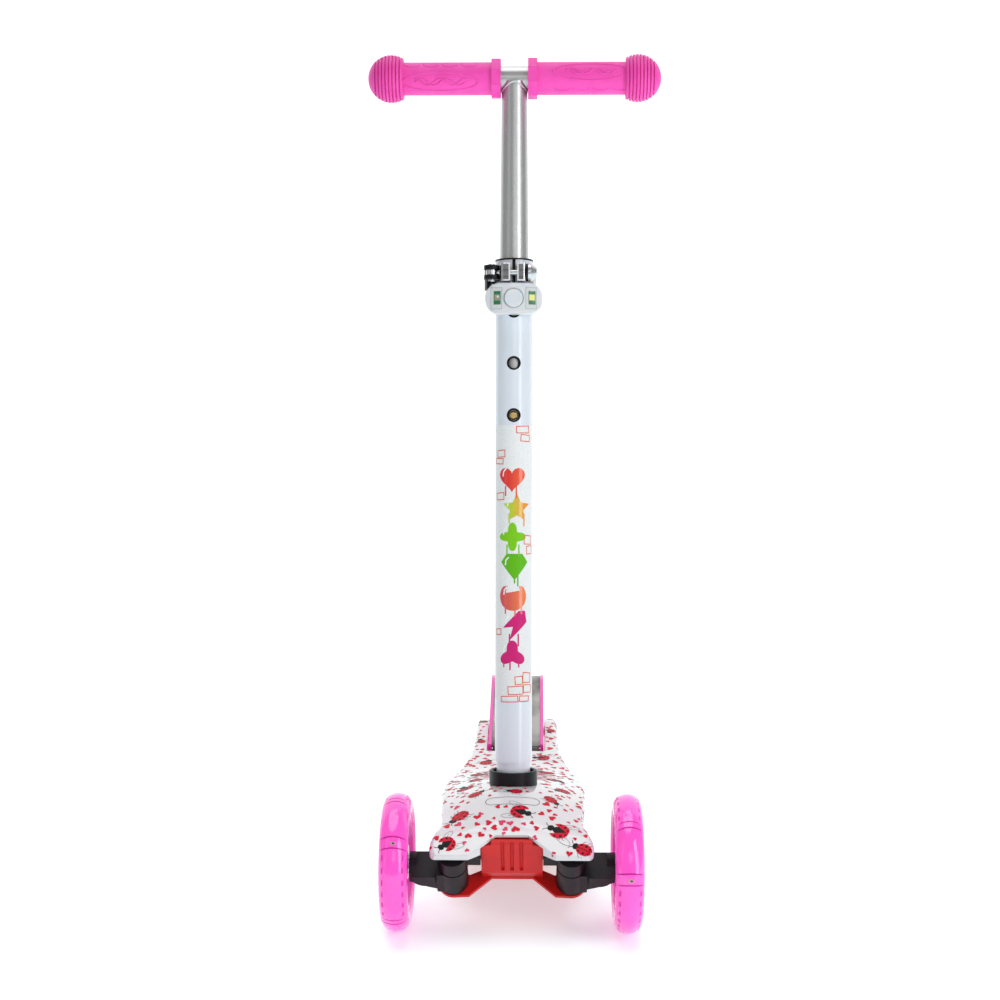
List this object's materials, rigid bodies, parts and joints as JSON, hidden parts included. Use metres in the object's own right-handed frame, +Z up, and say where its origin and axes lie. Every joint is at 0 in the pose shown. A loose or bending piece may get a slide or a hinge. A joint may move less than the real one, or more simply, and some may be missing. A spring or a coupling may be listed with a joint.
{
  "type": "kick scooter",
  "caption": "Children's lean-to-steer kick scooter: two large front wheels, twin small rear wheels, printed deck, height-adjustable T handlebar, clip-on lamp and foot brake.",
  "frame": {"origin": "on the floor under the centre of the bounding box, with the scooter standing on its wheels", "axes": "+Z up, the front faces -Y, +X is the rider's left; pieces named left and right are as seen from the front, so left is -X"},
  "size_m": [0.27, 0.55, 0.7658],
  "materials": {
    "grip_rubber": "soft satin rubber with a moulded motif",
    "silver_steel": "satin silver lacquer",
    "column_paint": null,
    "black_plastic": "satin black glass-filled nylon",
    "brass": "bright",
    "spring_steel": "plain spring steel",
    "clamp_aluminium": "polished casting",
    "zinc_steel": "bright zinc plate",
    "lamp_silicone": "milky silicone",
    "circuit_board": "green solder mask",
    "led": "clear resin",
    "cell_steel": "bright",
    "deck_white": null,
    "red_plastic": "satin red moulding",
    "bush_plastic": "acetal",
    "tyre_polyurethane": "translucent pink cast polyurethane",
    "wheel_core": "translucent pink moulding",
    "fender_pink": "glossy pink moulding",
    "stainless": "brushed"
  },
  "bodies": {
    "deck": {"deck_cover": "deck_white", "deck_frame": "red_plastic", "deck_collar": "black_plastic", "column_socket": "zinc_steel", "truck_housing": "red_plastic", "truck_beam": "black_plastic", "kingpin_bolts": "zinc_steel", "kingpin_bushes": "bush_plastic", "deck_screws": "zinc_steel", "rear_axle": "zinc_steel", "rear_axle_nuts": "zinc_steel", "rear_spacers": "zinc_steel", "fender_pin": "zinc_steel", "steering_springs": "spring_steel"},
    "column": {"column_tube": "column_paint", "tube_liner": "black_plastic", "column_foot": "black_plastic", "foot_spring": "spring_steel", "clamp_collar": "clamp_aluminium", "clamp_bolt": "zinc_steel", "clamp_cam_pin": "zinc_steel", "clamp_washers": "zinc_steel", "clamp_nut": "zinc_steel", "lamp_body": "lamp_silicone", "lamp_pcb": "circuit_board", "lamp_leds": "led", "lamp_cells": "cell_steel"},
    "handlebar": {"crossbar": "silver_steel", "upper_tube": "silver_steel", "weld_bead": "silver_steel", "grip_left": "grip_rubber", "grip_right": "grip_rubber", "snap_spring": "spring_steel"},
    "snap_button": {"snap_button": "brass"},
    "foot_button": {"foot_button": "black_plastic"},
    "clamp_lever": {"clamp_lever": "black_plastic"},
    "lamp_button": {"lamp_button": "lamp_silicone"},
    "knuckle_left": {"knuckle_left": "black_plastic", "axle_bolt_left": "zinc_steel"},
    "knuckle_right": {"knuckle_right": "black_plastic", "axle_bolt_right": "zinc_steel"},
    "tie_rod": {"tie_rod": "zinc_steel"},
    "front_wheel_left": {"front_tyre_left": "tyre_polyurethane", "front_core_left": "wheel_core", "front_leds_left": "led", "front_bearings_left": "zinc_steel"},
    "front_wheel_right": {"front_tyre_right": "tyre_polyurethane", "front_core_right": "wheel_core", "front_leds_right": "led", "front_bearings_right": "zinc_steel"},
    "rear_wheel_left": {"rear_tyre_left": "tyre_polyurethane", "rear_core_left": "wheel_core", "rear_bearings_left": "zinc_steel"},
    "rear_wheel_right": {"rear_tyre_right": "tyre_polyurethane", "rear_core_right": "wheel_core", "rear_bearings_right": "zinc_steel"},
    "fender": {"fender_frame": "fender_pink", "fender_plate": "stainless", "fender_spring": "spring_steel"}
  },
  "joints": [
    {"name": "column_pull", "type": "slide", "parent": "deck", "child": "column", "axis": [0, 0.1736, 0.9848], "range_m": [0, 0.08], "deforming": ["foot_button", "foot_spring"]},
    {"name": "foot_button_press", "type": "slide", "parent": "column", "child": "foot_button", "axis": [0, -0.9848, 0.1736], "range_m": [0, 0.003], "stiffness_N_per_m": 900, "springref_m": -0.002, "deforming": ["foot_spring"]},
    {"name": "handlebar_height", "type": "slide", "parent": "column", "child": "handlebar", "axis": [0, 0.1736, 0.9848], "range_m": [0, 0.0952], "deforming": ["snap_button", "snap_spring"]},
    {"name": "snap_button_press", "type": "slide", "parent": "handlebar", "child": "snap_button", "axis": [0, 0.9848, -0.1736], "range_m": [0, 0.003], "stiffness_N_per_m": 900, "springref_m": -0.002, "deforming": ["snap_spring"]},
    {"name": "clamp_lever_swing", "type": "hinge", "parent": "column", "child": "clamp_lever", "pos_m": [-0.0201, -0.07965, 0.56919], "axis": [0, 0.1736, 0.9848], "range_deg": [0, 150]},
    {"name": "lamp_button_press", "type": "slide", "parent": "column", "child": "lamp_button", "axis": [0, 0.9848, -0.1736], "range_m": [0, 0.0008], "stiffness_N_per_m": 2500, "springref_m": -0.0004},
    {"name": "knuckle_left_steer", "type": "hinge", "parent": "deck", "child": "knuckle_left", "pos_m": [-0.052, -0.2138, 0.0495], "axis": [0, -0.6157, 0.788], "range_deg": [-15, 15], "stiffness_Nm_per_rad": 5},
    {"name": "knuckle_right_steer", "type": "hinge", "parent": "deck", "child": "knuckle_right", "pos_m": [0.052, -0.2138, 0.0495], "axis": [0, -0.6157, 0.788], "range_deg": [-15, 15], "stiffness_Nm_per_rad": 5},
    {"name": "tie_rod_shift", "type": "slide", "parent": "deck", "child": "tie_rod", "axis": [1, 0, 0], "range_m": [-0.0054, 0.0054], "deforming": ["steering_springs"]},
    {"name": "front_wheel_left_spin", "type": "hinge", "parent": "knuckle_left", "child": "front_wheel_left", "pos_m": [-0.101, -0.215, 0.06], "axis": [1, 0, 0], "continuous": true},
    {"name": "rear_wheel_left_spin", "type": "hinge", "parent": "deck", "child": "rear_wheel_left", "pos_m": [-0.0135, 0.217, 0.04], "axis": [1, 0, 0], "continuous": true},
    {"name": "front_wheel_right_spin", "type": "hinge", "parent": "knuckle_right", "child": "front_wheel_right", "pos_m": [0.101, -0.215, 0.06], "axis": [1, 0, 0], "continuous": true},
    {"name": "rear_wheel_right_spin", "type": "hinge", "parent": "deck", "child": "rear_wheel_right", "pos_m": [0.0135, 0.217, 0.04], "axis": [1, 0, 0], "continuous": true},
    {"name": "fender_press", "type": "hinge", "parent": "deck", "child": "fender", "pos_m": [0, 0.07, 0.062], "axis": [-1, 0, 0], "range_deg": [0, 2.1], "stiffness_Nm_per_rad": 6, "springref_deg": -20.05, "deforming": ["fender_spring"]}
  ],
  "couplings": [
    {"joint": "knuckle_right_steer", "follows": "knuckle_left_steer", "ratio": 1},
    {"joint": "tie_rod_shift", "follows": "knuckle_left_steer", "m_per_rad": -0.0205}
  ]
}
